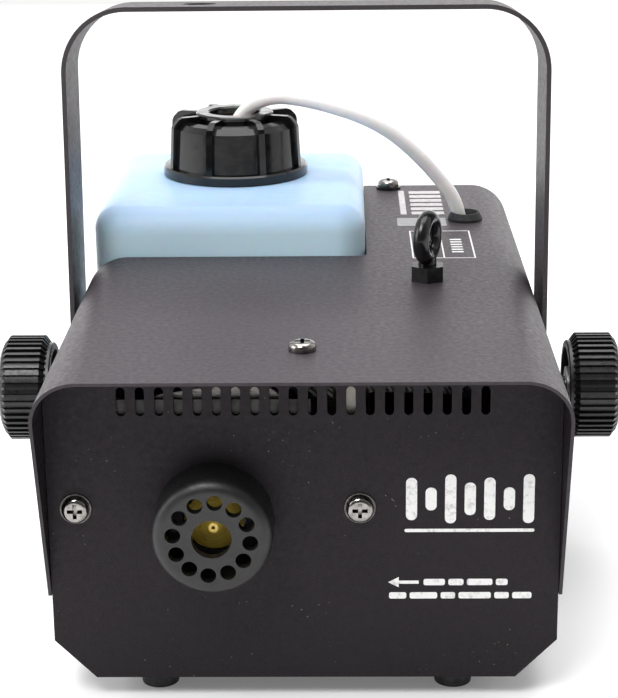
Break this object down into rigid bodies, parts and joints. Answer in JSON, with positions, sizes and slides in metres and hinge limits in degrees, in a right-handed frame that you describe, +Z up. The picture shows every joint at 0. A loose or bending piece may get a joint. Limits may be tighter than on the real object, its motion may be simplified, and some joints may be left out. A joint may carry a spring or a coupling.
{
  "type": "fog machine",
  "caption": "Small fog machine in a black folded-steel case with a blue tank, a swinging bracket held by two ribbed knobs, a round nozzle guard and a safety eye.",
  "frame": {"origin": "centre of the footprint: X is the middle of the case, Y is midway between the hood's front edge and the remote socket's rear end, Z is the plane that the feet stand on", "axes": "+X to the right seen from the front, +Y to the rear, away from the nozzle, +Z up"},
  "size_m": [0.208, 0.251, 0.1905],
  "materials": {
    "black_powder_coat": "fine-grained matt powder coat",
    "bare_steel": "zinc-plated sheet and turned steel",
    "nickel_screw": "nickel plate",
    "black_steel": "black enamel on steel",
    "black_rubber": "matt rubber",
    "black_plastic": "moulded plastic, semi-gloss",
    "rocker_red": "gloss",
    "brass": "turned",
    "cast_aluminium": "as cast",
    "glass_wool": "woven and felted glass fibre",
    "thermostat_ceramic": "unglazed ceramic",
    "tank_blue": "translucent blow-moulded polyethylene",
    "white_nylon": "moulded nylon",
    "silicone_tube": "translucent silicone",
    "coil_wrap": "varnished tape",
    "braided_sleeve": "braided glass-fibre sleeve",
    "board_green": "solder mask",
    "component_black": "moulded",
    "fuse_glass": "clear glass with metal ends",
    "socket_metal": "nickel plate"
  },
  "bodies": {
    "case": {"base_pan": "black_powder_coat", "board_components": "component_black", "board_standoffs": "bare_steel", "bracket_washers": "black_rubber", "circuit_board": "board_green", "control_thermostat": "thermostat_ceramic", "cover": "black_powder_coat", "cover_screw_washer": "black_steel", "cover_side_screws": "nickel_screw", "cover_top_screws": "nickel_screw", "delivery_tube": "silicone_tube", "eye_bolt": "black_steel", "eye_bolt_nuts": "black_steel", "feet": "black_rubber", "foot_screws": "nickel_screw", "front_panel": "black_powder_coat", "front_panel_screws": "nickel_screw", "heater_block": "cast_aluminium", "heater_front_bracket": "bare_steel", "heater_inlet_elbow": "brass", "heater_insulation": "glass_wool", "heater_leads": "braided_sleeve", "heater_rear_bracket": "bare_steel", "inlet_pins": "nickel_screw", "inlet_screws": "nickel_screw", "mains_inlet": "black_plastic", "mains_loom": "braided_sleeve", "nozzle": "brass", "nozzle_shroud": "black_plastic", "pickup_filter": "white_nylon", "pump_body": "white_nylon", "pump_bracket": "bare_steel", "pump_coil": "coil_wrap", "pump_frame": "bare_steel", "pump_mounts": "black_rubber", "pump_spring": "bare_steel", "rear_panel": "black_powder_coat", "remote_socket": "socket_metal", "rivet_nuts": "bare_steel", "supply_tube": "silicone_tube", "switch_bezel": "black_plastic", "tank": "tank_blue", "tank_tray": "bare_steel", "terminal_block": "thermostat_ceramic", "thermal_cutout": "thermostat_ceramic", "tube_grommet": "black_rubber"},
    "bracket": {"bracket": "black_powder_coat"},
    "knob_left_travel": {"knob_washer_left": "bare_steel"},
    "knob_left": {"knob_left": "black_plastic", "knob_stud_left": "bare_steel"},
    "knob_right_travel": {"knob_washer_right": "bare_steel"},
    "knob_right": {"knob_right": "black_plastic", "knob_stud_right": "bare_steel"},
    "cap_travel": {"cap_seal": "black_rubber"},
    "cap": {"tank_cap": "black_plastic", "cap_bush": "white_nylon"},
    "rocker": {"switch_rocker": "rocker_red"},
    "drawer": {"fuse_drawer": "black_plastic", "fuse": "fuse_glass"},
    "plunger": {"pump_plunger": "bare_steel"}
  },
  "joints": [
    {"name": "bracket_swing", "type": "hinge", "parent": "case", "child": "bracket", "pos_m": [0, 0.0015, 0.062], "axis": [1, 0, 0], "range_deg": [-56, 66]},
    {"name": "cap_travel", "type": "slide", "parent": "case", "child": "cap_travel", "axis": [0, 0, 1], "range_m": [0, 0.004], "deforming": ["supply_tube"]},
    {"name": "cap_turn", "type": "hinge", "parent": "cap_travel", "child": "cap", "pos_m": [-0.0275, 0.0731, 0.13], "axis": [0, 0, 1], "range_deg": [-1, 361]},
    {"name": "knob_left_travel", "type": "slide", "parent": "case", "child": "knob_left_travel", "axis": [-1, 0, 0], "range_m": [-0.007, 0.002]},
    {"name": "knob_left_turn", "type": "hinge", "parent": "knob_left_travel", "child": "knob_left", "pos_m": [-0.0863, 0.0015, 0.062], "axis": [-1, 0, 0], "range_deg": [-2530, 730]},
    {"name": "knob_right_travel", "type": "slide", "parent": "case", "child": "knob_right_travel", "axis": [1, 0, 0], "range_m": [-0.007, 0.002]},
    {"name": "knob_right_turn", "type": "hinge", "parent": "knob_right_travel", "child": "knob_right", "pos_m": [0.0863, 0.0015, 0.062], "axis": [1, 0, 0], "range_deg": [-2530, 730]},
    {"name": "power_rocker", "type": "hinge", "parent": "case", "child": "rocker", "pos_m": [0.046, 0.1155, 0.066], "axis": [1, 0, 0], "range_deg": [0, 18]},
    {"name": "fuse_drawer_slide", "type": "slide", "parent": "case", "child": "drawer", "axis": [0, 1, 0], "range_m": [0, 0.015]},
    {"name": "pump_stroke", "type": "slide", "parent": "case", "child": "plunger", "axis": [0, 0, 1], "range_m": [-0.005, 0], "stiffness_N_per_m": 300, "springref_m": 0.002, "deforming": ["pump_spring"]}
  ],
  "couplings": [
    {"joint": "cap_turn", "follows": "cap_travel", "rad_per_m": 1570.8},
    {"joint": "knob_left_turn", "follows": "knob_left_travel", "rad_per_m": 6283.2},
    {"joint": "knob_right_turn", "follows": "knob_right_travel", "rad_per_m": 6283.2}
  ]
}
